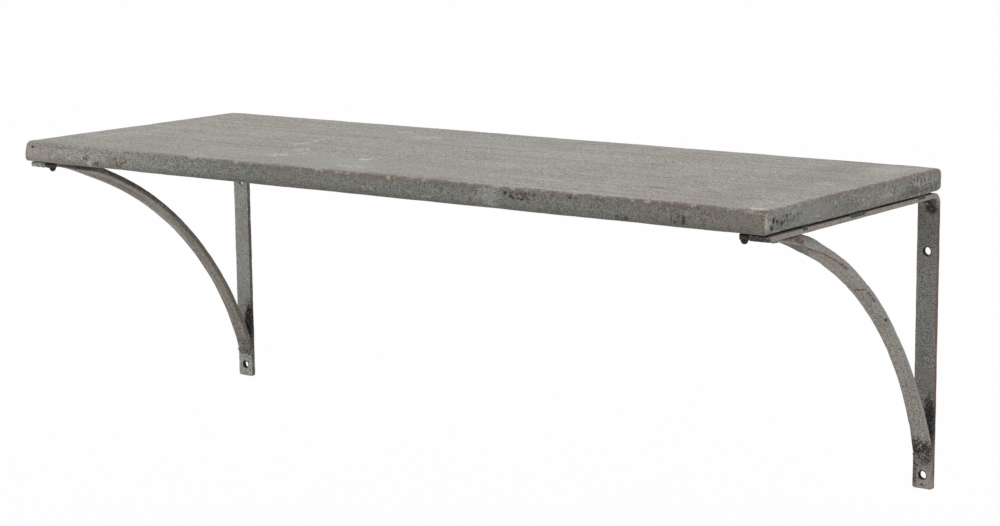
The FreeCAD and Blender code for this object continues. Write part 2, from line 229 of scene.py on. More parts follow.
# %% [markdown]
# ## Marks on the plank
# Knocks could be left to chance, but each shelf has its own: gouges on the front, scuffs on the top, scars on
# the end that stands nearest. A table lists them: the face, the place and half sizes in mm, the colour,
# how strongly the mark covers the paint, and how it is broken up.

# %% Plank marks
CREAM = (186, 177, 160)
CHALK = (200, 200, 195)
DARK = (58, 56, 53)
BROWN_BLACK = (54, 47, 43)
PINK_BROWN = (158, 136, 124)
COOL_GREY = (152, 155, 151)
SCUFF = (234, 234, 230)
SCAR = (24, 23, 22)
# A mark is one WHOLE patch, or keeps only the grit in it, as FLAKES, or only the GAPS between the grit
WHOLE, FLAKES, GAPS = "whole", "flakes", "gaps"
FRONT_Y, TOP_Z, END_X = -265.5, 156, 375


def on_front(x, z, half_x, half_z, tint, cover, broken=WHOLE, depth=3):
    return (x, FRONT_Y, z), (half_x, depth, half_z), tint, cover, broken


def on_top(x, y, half_x, half_y, tint, cover, broken=WHOLE):
    return (x, y, TOP_Z), (half_x, half_y, 3), tint, cover, broken


def on_end(y, z, half_y, half_z, tint, cover, broken=WHOLE):
    """The right end is drawn in by 2 mm or so towards the front."""
    return (END_X - 2 if y < -200 else END_X, y, z), (4, half_y, half_z), tint, cover, broken


PLANK_MARKS = [
    on_top(-60, -232, 170, 36, COOL_GREY, 0.3),
    on_top(-40, -60, 100, 26, COOL_GREY, 0.3),
    on_front(133, 147, 11, 7.5, (146, 148, 144), 0.4),
    on_front(133, 147, 11, 7.5, (178, 181, 178), 0.5, FLAKES),
    on_front(163, 150, 20, 3.8, BROWN_BLACK, 1.0, FLAKES, 4),
    on_front(160, 149, 16, 3, PINK_BROWN, 0.3, GAPS, 4),
    on_front(150, 151.8, 1.6, 1.3, (30, 28, 26), 1.0, WHOLE, 4),
    *(on_front(x, 153, half, 2.5, BROWN_BLACK, 1.0, FLAKES, 4) for x, half in ((192, 4), (210, 5), (235, 5))),
    on_front(254, 141, 8, 3, BROWN_BLACK, 0.9, FLAKES),
    on_front(303, 144, 8, 4, BROWN_BLACK, 0.9, FLAKES),
    on_front(14, 144.3, 7, 2.2, CREAM, 0.6, FLAKES),
    on_front(36, 153.8, 3, 1.5, CREAM, 0.7),
    on_front(72, 142.6, 7, 1.8, CREAM, 0.7, FLAKES),
    on_front(-297, 146, 5, 3.2, DARK, 1.0, FLAKES),
    on_front(-284, 142, 3, 2.5, DARK, 0.9, FLAKES),
    on_front(-260, 145, 14, 5.5, BROWN_BLACK, 0.8, FLAKES),
    on_front(-255, 143, 12, 4.5, PINK_BROWN, 0.3, GAPS),
    on_front(-293, 142, 3.2, 3.2, (188, 178, 172), 0.8),
    on_front(-362, 147, 16, 12, (168, 161, 153), 0.4, WHOLE, 4),
    on_front(-363, 151.2, 2.5, 1.6, (84, 60, 48), 0.9),
    on_front(-354, 147, 1.5, 9, (112, 88, 74), 0.4, FLAKES),
    on_front(-345, 139.5, 22, 2, (150, 138, 124), 0.5),
    *(on_top(*spot, SCUFF, cover, FLAKES) for *spot, cover in (
        (-154, -146, 4, 14, 0.75), (-157, -126, 4, 10, 0.6), (-117, -218, 15, 8, 0.6),
        (-126, -182, 8, 9, 0.5), (-38, -203, 7, 7, 0.75), (-20, -240, 16, 9, 0.4),
        (-131, -38, 10, 4, 0.55), (-86, -62, 18, 12, 0.35))),
    *(on_top(x, y, half, 1.5, DARK, cover) for x, y, half, cover in (
        (45, -83, 12, 0.35), (121, -113, 9, 0.35), (238, -142, 9, 0.4), (258, -168, 9, 0.4),
        (250, -210, 9, 0.4))),
    ((362, -258, 155), (8, 4, 4), CHALK, 0.7, WHOLE),
    on_top(340, -123, 9, 9, CHALK, 0.2),
    on_top(345, -35, 20, 30, CHALK, 0.2),
    on_front(369, 146, 3.8, 12, (146, 120, 104), 0.6, FLAKES, 4),
    on_front(370, 152, 2.5, 3, (112, 78, 60), 0.8, FLAKES, 4),
    on_front(360, 154, 24, 1.6, (150, 126, 112), 0.5, FLAKES),
    ((372.6, -263.4, 147), (1.5, 2.0, 8), CHALK, 0.35, WHOLE),
    ((372.6, -263.4, 148), (1.5, 2.0, 9), CHALK, 0.8, FLAKES),
    on_end(-215, 148, 50, 8, (142, 145, 143), 0.35),
    *(on_end(*spot, SCAR, cover) for *spot, cover in (
        (-256.5, 142.6, 2.0, 2.8, 1.0), (-254, 147.4, 1.9, 2.8, 1.0), (-249.5, 146.5, 1.9, 2.2, 0.95),
        (-243, 144.5, 2.4, 2.2, 0.9), (-236, 149, 2.4, 2.4, 0.8))),
    on_end(-243, 145.5, 17, 6, DARK, 0.9, FLAKES),
    on_end(-222, 146, 10, 4, DARK, 0.7, FLAKES),
    on_end(-15, 146, 12, 7, DARK, 0.7, FLAKES),
    on_end(-60, 142, 40, 3, DARK, 0.7, FLAKES),
    on_end(-79, 147, 2.5, 5, DARK, 0.6),
    on_end(-30, 148.5, 24, 5, CHALK, 0.65, FLAKES),
    on_end(-37, 146, 30, 6, DARK, 0.5, GAPS),
    on_end(-85, 146, 24, 6, CHALK, 0.3, FLAKES),
    on_end(-150, 146, 24, 6, DARK, 0.4, FLAKES),
]
print(len(PLANK_MARKS), "marks on the plank")

# %% [markdown]
# ## Finish of the plank
# Brushed grey paint: faint streaks along the plank, short dark ones where the brush ran dry, a fine grain.
# The sides carry painted shade: darker greys than the top, and darker still towards their bottom edge.
# Along the arrises the paint is rubbed through to brown wood, with a few pale chips.
# The mesh carries an attribute called edge, which rises from 0 to 1 over the last few millimetres before an
# arris: it is the mask for that wear. A picture of wood would be quicker, but it would not know the arrises.

# %% Painted wood
TOP_GREYS = ((106, 103, 96), (187, 184, 177))
# Painted shade: most of the sides get darker greys than the top, for the less light that falls on them
SHADED_SIDE_GREYS = ((72, 73, 68), (151, 152, 145))
LEFT_GREYS = ((97, 96, 90), (192, 191, 183))
DRY_BRUSH = (88, 83, 76)
CROSS_BRUSH = (112, 107, 100)
TOP_TINT = (150, 138, 130)
LOW_SIDE_SHADE = (72, 71, 67)
RIGHT_SIDE = (112, 102, 94)
PALE_END = (172, 172, 168)
SIDE_TINT = (132, 118, 106)
SIDE_WARMTH = (138, 122, 112)
WORN_BROWN = (108, 95, 86)
PALE_CHIP = (184, 168, 154)


def painted_wood():
    material, tree = new_finish("painted_wood")
    place = object_place(tree)
    x, _, z = split(place)
    across, _, up = facing(tree)
    streaks = grain(place, 1.0, 4.0, 0.6, stretch=(7, 190, 190))
    lines = grain(place, 1.0, 3.0, 0.6, stretch=(22, 900, 900))
    clouds = grain(place, 11.0, 4.0, 0.55)
    tints = grain(place, 19.0, 4.0, 0.6, shift=(5.0, 2.0, 1.0))
    specks = grain(place, 1150.0, 1.0, 0.5)
    coarse = grain(place, 420.0, 4.0, 0.7)
    rim = grain(place, 240.0, 4.0, 0.65)

    top_tone = mixed((streaks, 0.14), (specks, 0.56), (coarse, 0.3))
    top = coat(*TOP_GREYS, step(top_tone, 0.39, 0.61))
    dry = grain(place, 1.0, 3.0, 0.55, stretch=(26, 260, 260), shift=(3.1, 0.4, 0.2))
    top = coat(top, DRY_BRUSH, step(dry, 0.60, 0.72), step(x, -0.05, 0.2), 0.55)
    cross = times(step(x, 0.285, 0.305), step(x, 0.345, 0.325))
    top = coat(top, CROSS_BRUSH, cross, step(coarse, 0.45, 0.6), 0.3)
    top = coat(top, TOP_TINT, step(tints, 0.45, 0.7), 0.35)

    side_tone = step(mixed((coarse, 0.35), (specks, 0.65)), 0.35, 0.65)
    side = coat(*SHADED_SIDE_GREYS, side_tone)
    side = coat(side, coat(*LEFT_GREYS, side_tone), step(x, -0.1, -0.33))
    # Painted shade: the sides grow darker towards their bottom edge
    side = coat(side, LOW_SIDE_SHADE, step(z, 0.146, 0.139), 0.4)
    side = coat(side, RIGHT_SIDE, step(x, 0.1, 0.35), 0.3)
    end = step(maths("ABSOLUTE", across), 0.6, 0.85)
    side = coat(side, PALE_END, end, 0.27)
    flecks = grain(place, 520.0, 3.0, 0.65)
    side = coat(side, CHALK, step(flecks, 0.55, 0.66), end, 0.8)
    pits = grain(place, 480.0, 2.0, 0.5, shift=(9.0, 4.0, 2.0))
    side = coat(side, DARK, step(pits, 0.58, 0.66), end, 0.5)
    side = coat(side, SIDE_TINT, step(tints, 0.5, 0.75), 0.3)
    warm = grain(place, 120.0, 4.0, 0.65, shift=(1.0, 7.0, 3.0))
    side = coat(side, SIDE_WARMTH, step(warm, 0.5, 0.65), 0.3)
    colour = coat(side, top, step(up, 0.5, 0.85))

    grit = mixed((grain(place, 360.0, 4.0, 0.7), 0.65), (specks, 0.35))
    grit = step(grit, 0.47, 0.57)
    pattern = {WHOLE: [], FLAKES: [grit], GAPS: [maths("SUBTRACT", 1.0, grit)]}
    for centre, reach, tint, cover, broken in PLANK_MARKS:
        spot = near_spot(place, centre, reach, rim)
        colour = coat(colour, tint, spot, cover, *pattern[broken])

    edge = painted_attribute(tree, "edge")
    rubbed = step(mixed((edge, 1.0), (clouds, 1.4), (rim, 1.5)), 1.9, 2.4)
    along = maths("ADD", mixed((step(x, -0.25, 0.1), 0.4), (end, -0.3)), 0.3)
    colour = coat(colour, WORN_BROWN, rubbed, step(z, 0.138, 0.148), along)
    chips = times(step(grain(place, 190.0, 4.0, 0.65), 0.54, 0.63), step(edge, 0.6, 0.9))
    colour = coat(colour, PALE_CHIP, chips, step(z, 0.138, 0.15), 0.6)

    height = mixed((lines, 0.3), (coarse, 0.5), (specks, 0.5))
    close_finish(colour, step(clouds, -0.6, 1.0), height, 0.35)
    return material


plank_paint = painted_wood()
print(plank_paint.name, "has", len(plank_paint.node_tree.nodes), "nodes")

# %% [markdown]
# ## Finish of the iron
# The brackets are painted a dull taupe grey with a coarse grain. The straps' side edges and arrises show
# rust, while the braces' side faces carry painted light and shade. Dark spots are partly soot where iron
# meets iron and partly painted shade, under the plank and in the gaps; paint has flaked off beside the welds.
# Each bar differs a little in tone, so one function makes all five finishes, with lists of spots for each.

# %% Painted iron
RUST = (98, 68, 53)
SOOT_AND_SHADE = (34, 31, 29)
CHARRED_AND_SHADE = (30, 27, 25)
FLAKED = (176, 163, 154)
IRON_TINT = (146, 132, 123)
EDGE_SPECK = (92, 80, 72)
PALE_STREAK = (186, 174, 164)
DARK_STREAK = (84, 82, 74)
# Painted shade: the inside of a wall hole is painted dark; only the upper left one, which the plank nearly
# hides, is grey
HOLE_TINTS = {(-364, -2, -90): CHARRED_AND_SHADE, (364, -2, -90): CHARRED_AND_SHADE, (364, -2, 90): CHARRED_AND_SHADE,
              (-364, -2, 90): (140, 141, 135)}


def painted_iron(name, greys, arm_edge, leg_edge, rust_cover, soot_and_shade, blotches=(), rust_spots=(),
                 edge_z=(122, 132), streak=0.0, pale=()):
    """Speckled paint; the side edges change from one colour to another between two heights, in mm."""
    material, tree = new_finish(name)
    place = object_place(tree)
    clouds = grain(place, 44.0, 4.0, 0.65)
    specks = grain(place, 1250.0, 1.0, 0.5)
    coarse = grain(place, 420.0, 4.0, 0.7)
    fine = grain(place, 600.0, 3.0, 0.6)

    def spotted(colour, spots, tint, mask):
        for centre, reach, cover in spots:
            colour = coat(colour, tint, near_spot(place, centre, reach, fine), cover, mask)
        return colour

    tone = mixed((coarse, 0.25), (specks, 0.75))
    colour = coat(*greys, step(tone, 0.37, 0.63))
    colour = coat(colour, IRON_TINT, step(clouds, 0.48, 0.66), 0.4)
    if streak:
        brushed = grain(place, 1.0, 3.0, 0.6, stretch=(420, 14, 14))
        colour = coat(colour, PALE_STREAK, step(brushed, 0.5, 0.66), streak)
        colour = coat(colour, DARK_STREAK, step(brushed, 0.46, 0.32), streak)
    flank = step(maths("ABSOLUTE", facing(tree)[0]), 0.45, 0.7)
    on_arm = step(split(place)[2], edge_z[0] * MM, edge_z[1] * MM)
    tint = coat(leg_edge, arm_edge, on_arm)
    tint = coat(tint, EDGE_SPECK, step(fine, 0.5, 0.62), 0.7)
    colour = coat(colour, tint, flank, step(fine, 0.3, 0.52), 0.85)

    ragged = mixed((painted_attribute(tree, "arris"), 1.0), (coarse, 1.6), (clouds, 1.0))
    rust = times(step(ragged, 1.85, 2.4), rust_cover)
    for centre, reach, cover in rust_spots:
        spot = times(near_spot(place, centre, reach, fine), cover)
        rust = maths("MAXIMUM", rust, spot)
    colour = coat(colour, RUST, rust)
    broken = step(fine, 0.25, 0.5)
    colour = spotted(colour, pale, FLAKED, broken)
    # Soot and painted shade: dark spots, soot where iron meets iron, painted shade under the plank and in
    # gaps
    colour = spotted(colour, soot_and_shade, SOOT_AND_SHADE, broken)
    patches = grain(place, 400.0, 4.0, 0.65, shift=(4.0, 8.0, 1.0))
    colour = spotted(colour, blotches, FLAKED, step(patches, 0.54, 0.66))
    colour = spotted(colour, blotches, CHARRED_AND_SHADE, step(patches, 0.46, 0.36))
    # Painted shade inside the wall holes
    for centre, hole_tint in HOLE_TINTS.items():
        inputs = {0: place, 1: [c * MM for c in centre]}
        distance = put(tree, "ShaderNodeVectorMath", inputs, operation="DISTANCE").outputs["Value"]
        colour = coat(colour, hole_tint, step(distance, 4.6 * MM, 4.0 * MM))
    height = mixed((coarse, 0.5), (specks, 0.5))
    close_finish(colour, step(clouds, -0.7, 1.1), height, 0.3)
    return material


# A rust line runs down the top of the right brace, with a crack, a few dashes and a dot below it; in mm
RUST_LINE = [
    (372.3, -221, 130), (371.8, -214.5, 127), (370, -209, 124.2), (367, -201, 121), (367, -194, 119),
    (367.5, -184, 115), (369, -177, 113), (369, -168, 109), (369.5, -161, 106), (370, -153, 102),
    (370, -146, 98),
]
rust_marks = [(point, (1.3, 4.2, 2.0), 0.8) for point in RUST_LINE]
for here, after in zip(RUST_LINE, RUST_LINE[1:]):
    rust_marks.append((tuple((a + b) / 2 for a, b in zip(here, after)), (1.2, 4.2, 2.0), 0.6))
rust_marks += [((362.8 + 1.8 * i, -116 + 0.5 * i, 76.6), (1.6, 1.5, 1.5), 0.8) for i in range(5)]
rust_marks += [((370, -109.5 + 3 * i, 73.3 - 2.4 * i), (2, 2.2, 2.0), 0.75) for i in range(4)]
rust_marks += [((370, -80.4, 48.3), (2, 2, 2), 1.0)]

strap_paints = {
    "right": painted_iron(
        "right_strap_paint", ((78, 78, 75), (169, 168, 164)),
        (172, 160, 152), (116, 80, 64), 0.5,
        # Soot and painted shade: the spots beside the brace's foot and at the arm's front end, below the
        # plank, are painted shade
        soot_and_shade=[((364, -6, 130), (9, 6, 4), 0.9), ((367, -4, 124), (6, 5, 5), 0.9),
              ((364, -4, 108), (14, 6, 26), 0.25), ((369, -4, -46), (7, 5, 24), 0.9),
              ((364, -260, 135), (12, 4, 4), 0.85), ((357, -4, -88), (2, 4, 14), 0.5)],
        blotches=[((361, -4, -84), (8, 5, 20), 0.9), ((365, -4, -97), (9, 5, 7), 0.8),
                  ((364, -6, 128), (9, 6, 5), 0.6)],
        pale=[((365, -4, -95), (11, 5, 11), 0.55)]),
    "left": painted_iron(
        "left_strap_paint", ((96, 97, 92), (191, 192, 185)),
        (120, 110, 102), (60, 52, 44), 0.5,
        # Soot and painted shade: the long spot beside the brace's foot is painted shadow between brace and
        # leg
        soot_and_shade=[((-364, -4, 124), (9, 6, 7), 0.6), ((-358, -4, -48), (6, 5, 25), 1.0)],
        blotches=[((-361, -4, -88), (9, 5, 16), 0.7)]),
}
brace_paints = {
    # Painted light: the right brace's side faces are painted pale below the arm, as the side that catches the
    # light
    "right": painted_iron(
        "right_brace_paint", ((95, 91, 85), (181, 176, 169)),
        (112, 109, 101), (166, 165, 162), 0.15,
        # Soot and painted shade: the spots under the arm are painted shade on the brace's inner side; those
        # at the foot are stains
        soot_and_shade=[((361, -8, -67), (9, 7, 10), 0.9), ((369, -7, -68), (5, 7, 8), 0.9),
              ((357, -206, 122), (13, 40, 15), 0.6), ((372, -229, 133.4), (5, 17, 1.9), 1.0)],
        blotches=[((363, -8, -66), (9, 8, 13), 0.9), ((369, -190, 118), (6, 44, 15), 0.45)],
        rust_spots=rust_marks, streak=0.3),
    # Painted shade: the left brace's side faces are painted dark towards the arm, as the side that lies in
    # shade
    "left": painted_iron(
        "left_brace_paint", ((83, 79, 73), (169, 164, 155)),
        (58, 54, 48), (102, 96, 88), 0.2,
        # Soot and painted shade: the spot under the arm is painted shade on the brace's inner side
        soot_and_shade=[((-356, -215, 127), (5, 22, 6), 0.7), ((-362, -8, -69), (9, 7, 8), 0.4)],
        blotches=[((-362, -8, -66), (9, 8, 12), 0.6)], edge_z=(20, 110), streak=0.45),
}
# Painted shade: the lugs get much darker greys, and black spots over their tops, for the shade below the
# plank
lug_paint = painted_iron(
    "lug_paint", ((38, 34, 30), (88, 81, 73)), (70, 62, 55), (70, 62, 55), 0.3,
    soot_and_shade=[((x, y, 138), (14, 14, 3.4), 1.0) for x in (-350, 350) for y in (-255, -60)])
print(len(strap_paints) + len(brace_paints) + 1, "iron finishes")

# %% [markdown]
# ## Finishes of the small parts
# Weld metal is dark and pitted, with pale flecks. The screw heads are dull dark steel with specks of paint.
# The spacers are grey-green rubber with a dusty bloom. All three are a mottle with flecks over it,
# so they share one function and differ in colours, scale and relief.

# %% Weld, screw and rubber finishes
def flecked(name, dark, pale, fleck, scale, limit, rough, depth):
    material, tree = new_finish(name)
    place = object_place(tree)
    coarse = grain(place, scale, 4.0, 0.7)
    fine = grain(place, scale * 3, 3.0, 0.6)
    colour = coat(dark, pale, step(coarse, 0.35, 0.65))
    colour = coat(colour, fleck, step(fine, limit, limit + 0.06))
    roughness = maths("ADD", times(fine, 0.2), rough)
    close_finish(colour, roughness, mixed((coarse, 0.7), (fine, 0.3)), depth)
    return material


weld_finish = flecked("weld_metal", (48, 44, 40), (142, 136, 128), (176, 168, 158), 480.0, 0.62, 0.6, 0.6)
screw_finish = flecked("screw_steel", (12, 11, 10), (40, 37, 34), (170, 164, 154), 420.0, 0.62, 0.4, 0.2)
rubber_finish = flecked("green_rubber", (48, 68, 52), (84, 100, 82), (112, 112, 100), 330.0, 0.64, 0.7, 0.3)
print(weld_finish.name, screw_finish.name, rubber_finish.name)

# %% [markdown]
# ## The plank
# A cube with a Bevel modifier gives a plank with perfect edges, but the real arrises are rubbed unevenly,
# the left end's top and two corners are rounder than the rest, and the right end isn't quite square.
# So the surface is a fine grid of a box, and each point is pulled in to a rounding whose radius changes from
# place to place. How far a point lies round an arris, and how near to one, is kept for wear and paint.

# %% Plank surface
def graded(low, high, fine, middle):
    """Places along an edge: close together near both ends, evenly spaced between them."""
    ends = np.array(fine) * MM
    inner = np.arange(low + ends[-1], high - ends[-1], middle * MM)
    return np.concatenate([low + ends[:-1], inner, high - ends[::-1]])


def box_surface(places):
    """Points and outward quads of a box, from the places along its three edges."""
    index, quads = {}, []
    for axis in range(3):
        first, second = (axis + 1) % 3, (axis + 2) % 3
        last = len(places[axis]) - 1
        for i, j in np.ndindex(len(places[first]) - 1, len(places[second]) - 1):
            for end, order in ((0, -1), (last, 1)):
                ring = []
                for ahead, above in ((1, 0), (1, 1), (0, 1), (0, 0)):
                    corner = [end] * 3
                    corner[first], corner[second] = i + ahead, j + above
                    ring.append(index.setdefault(tuple(corner), len(index)))
                quads.append(ring[::order])
    points = [[places[axis][corner[axis]] for axis in range(3)] for corner in index]
    return np.array(points), quads


def rounded_off(points, low, high, radius):
    """Pulls the points of a box in to rounded edges; also gives how far round an edge each one lies."""
    middle = (low + high) / 2
    inner = (high - low) / 2 - radius[:, None]
    core = np.clip(points - middle, -inner, inner)
    reach = points - middle - core
    reach = reach / np.linalg.norm(reach, axis=1)[:, None]
    arris = np.clip((1 - np.abs(reach).max(axis=1)) / (1 - math.sqrt(0.5)), 0, 1)
    return middle + core + reach * radius[:, None], arris


def wavy(points, size, seed):
    """Smooth noise between -1 and 1 at each point; size is the length of its waves in mm."""
    shift = Vector((seed * 3.7, seed * 1.3, seed * 2.1))
    return np.array([noise.noise(Vector(p) / (size * MM) + shift) for p in points])


def smooth(value, low, high):
    share = np.clip((value - low) / (high - low), 0, 1)
    return share * share * (3 - 2 * share)


def mesh_piece(name, points, faces=(), edges=(), **attributes):
    """New object at the origin, with its place in its mesh, and numbers at its points."""
    mesh = bpy.data.meshes.new(name)
    mesh.from_pydata([tuple(p) for p in points], edges, faces)
    for key, values in attributes.items():
        mesh.attributes.new(key, "FLOAT", "POINT").data.foreach_set("value", np.asarray(values, np.float32))
    return link(bpy.data.objects.new(name, mesh))


def corners(node):
    return [np.array(corner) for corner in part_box(node)]


EDGE_STEPS = (0, 0.4, 0.9, 1.4, 2.0, 2.7, 3.5, 4.5, 6.0, 8.0)
STEPS = (EDGE_STEPS, EDGE_STEPS, EDGE_STEPS[:7])
GRID = (4.0, 4.0, 2.0)
ARRIS_RADIUS = 2.9
LONG_WAVES, SHORT_WAVES = 0.9, 0.5
LEFT_ROUND, FRONT_CORNER_ROUND, BACK_CORNER_ROUND = 2.6, 1.5, 1.6
END_SKEW = 2.6
EDGE_WEAR = 9.0 * MM

low, high = corners("shelf_board")
points, faces = box_surface([graded(*sizes) for sizes in zip(low, high, STEPS, GRID)])
half = (high - low) / 2
local = points - (low + high) / 2
upper = smooth(local[:, 2], -0.003, 0.005)
to_front_corner = np.hypot(points[:, 0] - high[0], points[:, 1] - low[1])
to_back_corner = np.hypot(points[:, 0] - high[0], points[:, 1] - high[1])
radius = ARRIS_RADIUS + LONG_WAVES * wavy(points, 45, 1) + SHORT_WAVES * wavy(points, 9, 2)
radius += LEFT_ROUND * upper * smooth(points[:, 0], low[0] + 0.020, low[0])
radius += FRONT_CORNER_ROUND * upper * smooth(to_front_corner, 0.040, 0.006)
radius += BACK_CORNER_ROUND * smooth(to_back_corner, 0.030, 0.004)
rounded, arris = rounded_off(points, low, high, radius * MM)
to_front = np.clip(0.5 - local[:, 1] / (2 * half[1]), 0, 1)
rounded[:, 0] -= END_SKEW * MM * to_front * smooth(local[:, 0], 0.55 * half[0], half[0])
to_arris = np.sort(half - np.abs(local), axis=1)[:, 1]
edge = 1 - np.clip(to_arris / EDGE_WEAR, 0, 1)
plank = mesh_piece("shelf_plank", rounded, faces, arris=arris, edge=edge)
print("plank:", len(points), "points,", len(faces), "faces")

# %% [markdown]
# ## Dents and chips
# Hand work leaves shallow hollows, and knocks leave chips on the arrises. Both follow one rule, so one tree
# does it: it moves points inwards along their normals by a noise, and more where arris is high.
# The pieces never grow past the CAD box, because nothing is moved outwards.

# %% Wear tree
WEAR = ("dent_depth", "dent_scale", "chip_depth", "chip_scale", "seed")


def new_tree(name, *numbers, **others):
    """Geometry Nodes tree with named inputs, numbers and other kinds; returns it and its input sockets."""
    tree = bpy.data.node_groups.new(name, "GeometryNodeTree")
    tree.interface.new_socket("geometry", in_out="OUTPUT", socket_type="NodeSocketGeometry")
    kinds = {"geometry": "Geometry", **dict.fromkeys(numbers, "Float"), **others, "material": "Material"}
    for label, kind in kinds.items():
        tree.interface.new_socket(label, in_out="INPUT", socket_type=f"NodeSocket{kind}")
    start = tree.nodes.new("NodeGroupInput")
    return tree, SimpleNamespace(**{socket.name: socket for socket in start.outputs if socket.name})


def close_tree(geometry, inputs):
    """Realize Instances, Set Material and the output: the end of every tree."""
    real = geo("RealizeInstances", {0: geometry})
    finished = geo("SetMaterial", {"Geometry": real, "Material": inputs.material})
    put(geometry.id_data, "NodeGroupOutput", {0: finished})


def softened(geometry):
    return geo("SetShadeSmooth", {"Geometry": geometry, "Shade Smooth": True})


def attribute(tree, name):
    return put(tree, "GeometryNodeInputNamedAttribute", {"Name": name}, data_type="FLOAT").outputs[0]


def position(tree):
    return put(tree, "GeometryNodeInputPosition").outputs[0]


def pushed_in(geometry, depth):
    """Moves each point inwards along its normal."""
    normal = put(depth.id_data, "GeometryNodeInputNormal").outputs[0]
    inputs = {0: normal, "Scale": times(depth, -1.0)}
    offset = shade("VectorMath", inputs, operation="SCALE")
    return geo("SetPosition", {"Geometry": geometry, "Offset": offset})


def worn(geometry, inputs):
    """Shallow dents everywhere, and deeper chips on the arrises."""
    tree = geometry.id_data
    sizes = {"Vector": position(tree), "W": inputs.seed, "Detail": 3.0, "Roughness": 0.55}
    hollows = shade("TexNoise", {**sizes, "Scale": inputs.dent_scale}, noise_dimensions="4D")
    knocks = shade("TexNoise", {**sizes, "Scale": inputs.chip_scale}, noise_dimensions="4D")
    shallow = times(step(hollows, 0.3, 0.75), inputs.dent_depth)
    deep = times(step(knocks, 0.55, 0.72), inputs.chip_depth, attribute(tree, "arris"))
    return pushed_in(geometry, maths("ADD", shallow, deep))


def keep_mesh(piece):
    """Turns what the piece's modifier makes into a plain mesh, and removes the modifier."""
    depsgraph = bpy.context.evaluated_depsgraph_get()
    mesh = bpy.data.meshes.new_from_object(piece.evaluated_get(depsgraph))
    piece.modifiers.clear()
    piece.data = mesh
    mesh.name = piece.name


def run_tree(piece, tree, **values):
    """Gives the piece the tree, sets the tree's inputs, and keeps the result as a plain mesh."""
    modifier = piece.modifiers.new(tree.name, "NODES")
    modifier.node_group = tree
    for item in tree.interface.items_tree:
        if item.in_out == "INPUT" and item.name in values:
            modifier[item.identifier] = values[item.name]
    keep_mesh(piece)


def settle(piece, node):
    """The finished piece stands for its CAD node, which is hidden, and rides on the one body."""
    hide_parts(node)
    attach(piece, "root")
    print(piece.name, "has", len(piece.data.polygons), "faces")


wear_tree, wear_inputs = new_tree("wear", *WEAR)
close_tree(softened(worn(wear_inputs.geometry, wear_inputs)), wear_inputs)
run_tree(plank, wear_tree, dent_depth=0.35 * MM, dent_scale=22.0, chip_depth=1.1 * MM, chip_scale=70.0,
         seed=4.0, material=plank_paint)
settle(plank, "shelf_board")

# %% [markdown]
# ## Flat bar along a path
# The straps and the braces are the same stock: flat iron bar. It could be boxed out by hand, but bar that
# follows a path is what Curve to Mesh is for. The path carries numbers at each point: the half width, so that
# one tree rounds a strap's ends and draws in a brace's waist, the twist, and how far the upper side swells.
# A cutter then takes out the holes, or trims the ends.

# %% Flat bar tree
SHARP_ANGLE = math.radians(32)


def line_piece(name, points, closed=False, **attributes):
    """Line of edges through the points, for a path or a section."""
    count = len(points)
    edges = [(i, (i + 1) % count) for i in range(count if closed else count - 1)]
    return mesh_piece(name, points, edges=edges, **attributes)


def bar_section(half_width, half_thick, rounding, cuts):
    """Outline of the bar; arris is 1 in the middle of each arris, upper goes from 0 to 1 across the bar."""
    turns = np.radians(np.linspace(0, 90, 5))
    arcs = []
    for number, (side, face) in enumerate(((1, 1), (-1, 1), (-1, -1), (1, -1))):
        angles = turns + number * math.pi / 2
        centre = np.array((side * (half_width - rounding), face * (half_thick - rounding)))
        arcs.append(centre + rounding * np.column_stack((np.cos(angles), np.sin(angles))))
    points, arris = [], []
    for number, arc in enumerate(arcs):
        between = np.linspace(arc[-1], arcs[(number + 1) % 4][0], cuts[number % 2] + 1)[1:-1]
        points += [*arc, *between]
        arris += [*np.sin(2 * turns), *np.zeros(len(between))]
    upper = [(point[1] / half_thick + 1) / 2 for point in points]
    return line_piece("section", [(*point, 0.0) for point in points], closed=True, arris=arris, upper=upper)


def object_mesh(thing):
    return put(thing.id_data, "GeometryNodeObjectInfo", {"Object": thing}).outputs["Geometry"]


def boolean(operation, *meshes):
    """Exact boolean: the first mesh less the others, or what all of them share or cover."""
    tree = meshes[0].id_data
    node = put(tree, "GeometryNodeMeshBoolean", operation=operation, solver="EXACT")
    for number, mesh in enumerate(meshes):
        is_cut = operation == "DIFFERENCE" and number == 0
        tree.links.new(mesh, node.inputs[0 if is_cut else 1])
    return node.outputs[0]


def crisp(geometry):
    """Smooth shading, with sharp edges where two faces meet at more than the sharp angle."""
    tree = geometry.id_data
    bend = put(tree, "GeometryNodeInputMeshEdgeAngle").outputs["Unsigned Angle"]
    sharp = put(tree, "FunctionNodeCompare", {0: bend, 1: SHARP_ANGLE}, operation="GREATER_THAN").outputs[0]
    inputs = {"Geometry": softened(geometry), "Selection": sharp, "Shade Smooth": False}
    return geo("SetShadeSmooth", inputs, domain="EDGE")


